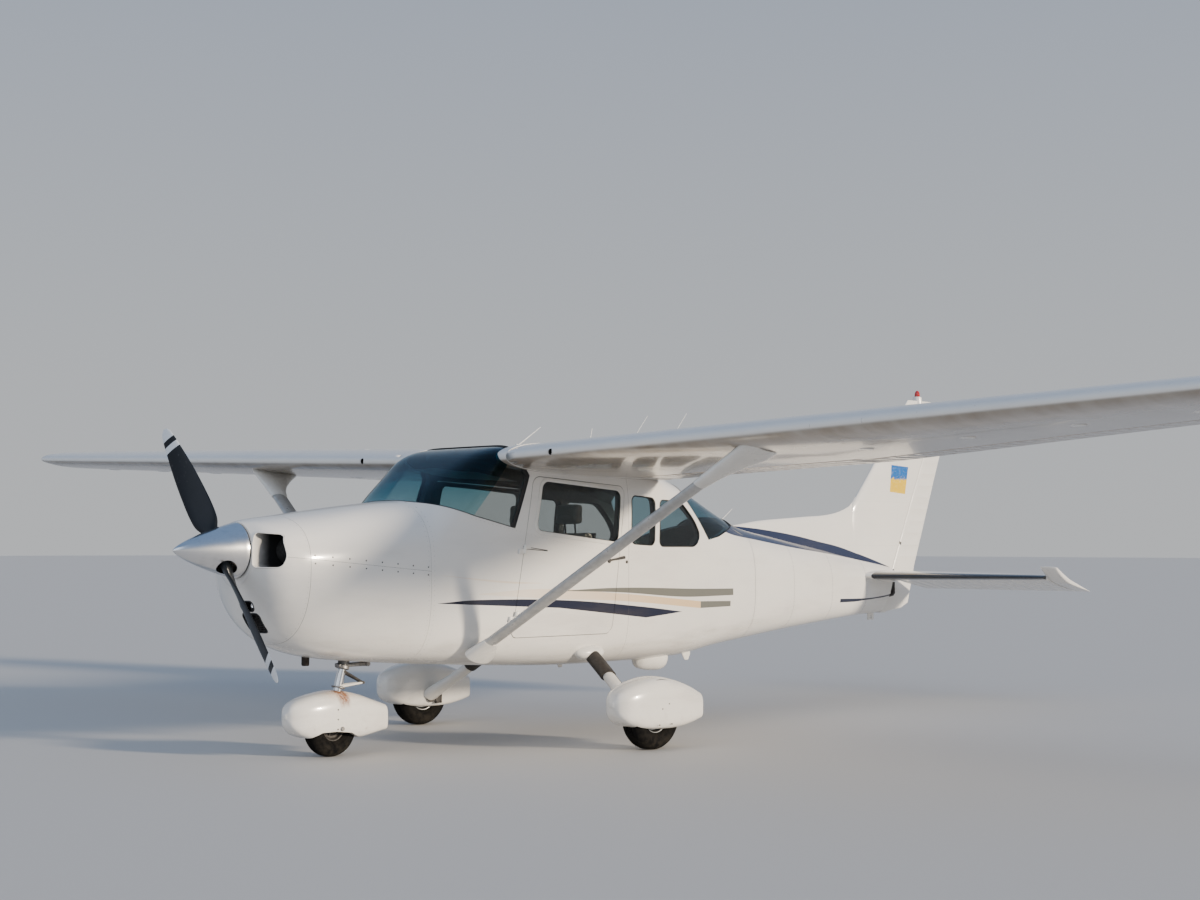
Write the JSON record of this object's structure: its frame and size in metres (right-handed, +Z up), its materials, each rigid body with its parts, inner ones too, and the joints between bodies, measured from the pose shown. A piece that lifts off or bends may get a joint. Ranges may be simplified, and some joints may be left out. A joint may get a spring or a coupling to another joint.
{
  "type": "light aircraft",
  "caption": "High-wing single-engined light aircraft with strut-braced wing, fixed three-wheel gear in wheel fairings, opening cabin doors and moving control surfaces.",
  "frame": {"origin": "on the ground, halfway along the length and on the centre line", "axes": "+X forward to the propeller, +Y to the left wing tip, +Z up"},
  "size_m": [8.28, 11, 2.7203],
  "materials": {
    "white_paint": "gloss",
    "grey_white_paint": "gloss",
    "aerial_rod": "satin",
    "glass": "gloss",
    "engine": "matte",
    "exhaust_steel": "matte",
    "gear_steel": "gloss",
    "tyre": "matte",
    "hub_metal": "satin",
    "propeller_black": "satin",
    "spinner_metal": "polished",
    "seat_cloth": "matte",
    "panel_plastic": "matte",
    "beacon_red": "gloss"
  },
  "bodies": {
    "airframe": {"cabin_shell": "white_paint", "tail_cone": "white_paint", "cowl_upper": "white_paint", "cowl_lower": "white_paint", "belly_fairing": "white_paint", "fin": "white_paint", "stabilizer": "white_paint", "wing_left": "white_paint", "wing_right": "white_paint", "main_pant_left": "white_paint", "main_pant_right": "white_paint", "strut_left": "grey_white_paint", "strut_right": "grey_white_paint", "aerial_front": "aerial_rod", "aerial_middle": "aerial_rod", "aerial_rear_left": "aerial_rod", "aerial_rear_right": "aerial_rod", "aerial_tail": "aerial_rod", "windshield": "glass", "rear_window": "glass", "quarter_window_front_left": "glass", "quarter_window_front_right": "glass", "quarter_window_rear_left": "glass", "quarter_window_rear_right": "glass", "engine_block": "engine", "exhaust_pipe": "exhaust_steel", "nose_strut": "gear_steel", "main_leg_left": "gear_steel", "main_leg_right": "gear_steel", "front_seat_left": "seat_cloth", "front_seat_right": "seat_cloth", "rear_bench": "seat_cloth", "instrument_panel": "panel_plastic", "beacon": "beacon_red"},
    "propeller": {"propeller": "propeller_black", "spinner": "spinner_metal"},
    "door_left": {"door_left": "white_paint", "door_window_left": "glass"},
    "door_right": {"door_right": "white_paint", "door_window_right": "glass"},
    "flap_left": {"flap_left": "white_paint"},
    "flap_right": {"flap_right": "white_paint"},
    "aileron_left": {"aileron_left": "white_paint"},
    "aileron_right": {"aileron_right": "white_paint"},
    "elevator": {"elevator": "white_paint"},
    "rudder": {"rudder": "white_paint"},
    "nose_fork": {"nose_fork": "gear_steel", "nose_pant": "white_paint"},
    "nose_wheel": {"nose_tyre": "tyre", "nose_hub": "hub_metal"},
    "main_wheel_left": {"main_tyre_left": "tyre", "main_hub_left": "hub_metal"},
    "main_wheel_right": {"main_tyre_right": "tyre", "main_hub_right": "hub_metal"}
  },
  "joints": [
    {"name": "propeller_spin", "type": "hinge", "parent": "airframe", "child": "propeller", "pos_m": [3.823, 0, 1.29], "axis": [1, 0, 0], "continuous": true},
    {"name": "door_left_hinge", "type": "hinge", "parent": "airframe", "child": "door_left", "pos_m": [1.811, 0.543, 1.3], "axis": [0.1802, 0, -0.9836], "range_deg": [0, 65]},
    {"name": "door_right_hinge", "type": "hinge", "parent": "airframe", "child": "door_right", "pos_m": [1.811, -0.543, 1.3], "axis": [-0.1802, 0, 0.9836], "range_deg": [0, 65]},
    {"name": "flap_left_hinge", "type": "hinge", "parent": "airframe", "child": "flap_left", "pos_m": [0.7393, 0.62, 1.847], "axis": [0, -0.9994, -0.0353], "range_deg": [0, 30]},
    {"name": "flap_right_hinge", "type": "hinge", "parent": "airframe", "child": "flap_right", "pos_m": [0.7393, -0.62, 1.847], "axis": [0, -0.9994, 0.0353], "range_deg": [0, 30]},
    {"name": "aileron_left_hinge", "type": "hinge", "parent": "airframe", "child": "aileron_left", "pos_m": [0.6686, 2.516, 1.9062], "axis": [0.1427, 0.9886, 0.0484], "range_deg": [-15, 20]},
    {"name": "aileron_right_hinge", "type": "hinge", "parent": "airframe", "child": "aileron_right", "pos_m": [0.6686, -2.516, 1.9062], "axis": [-0.1427, 0.9886, -0.0484], "range_deg": [-20, 15]},
    {"name": "elevator_hinge", "type": "hinge", "parent": "airframe", "child": "elevator", "pos_m": [-3.05, 0, 1.072], "axis": [0, 1, 0], "range_deg": [-8, 43]},
    {"name": "rudder_hinge", "type": "hinge", "parent": "airframe", "child": "rudder", "pos_m": [-3.075, 0, 1], "axis": [-0.4536, 0, 0.8912], "range_deg": [-17, 17]},
    {"name": "nose_steering", "type": "hinge", "parent": "airframe", "child": "nose_fork", "pos_m": [2.98, 0, 0.18], "axis": [-0.2419, 0, 0.9703], "range_deg": [-30, 30]},
    {"name": "nose_wheel_spin", "type": "hinge", "parent": "nose_fork", "child": "nose_wheel", "pos_m": [2.98, 0, 0.18], "axis": [0, 1, 0], "continuous": true},
    {"name": "main_wheel_left_spin", "type": "hinge", "parent": "airframe", "child": "main_wheel_left", "pos_m": [1.265, 1.16, 0.2225], "axis": [0, 1, 0], "continuous": true},
    {"name": "main_wheel_right_spin", "type": "hinge", "parent": "airframe", "child": "main_wheel_right", "pos_m": [1.265, -1.16, 0.2225], "axis": [0, 1, 0], "continuous": true}
  ],
  "couplings": [
    {"joint": "flap_right_hinge", "follows": "flap_left_hinge", "ratio": 1},
    {"joint": "aileron_right_hinge", "follows": "aileron_left_hinge", "ratio": -1}
  ]
}
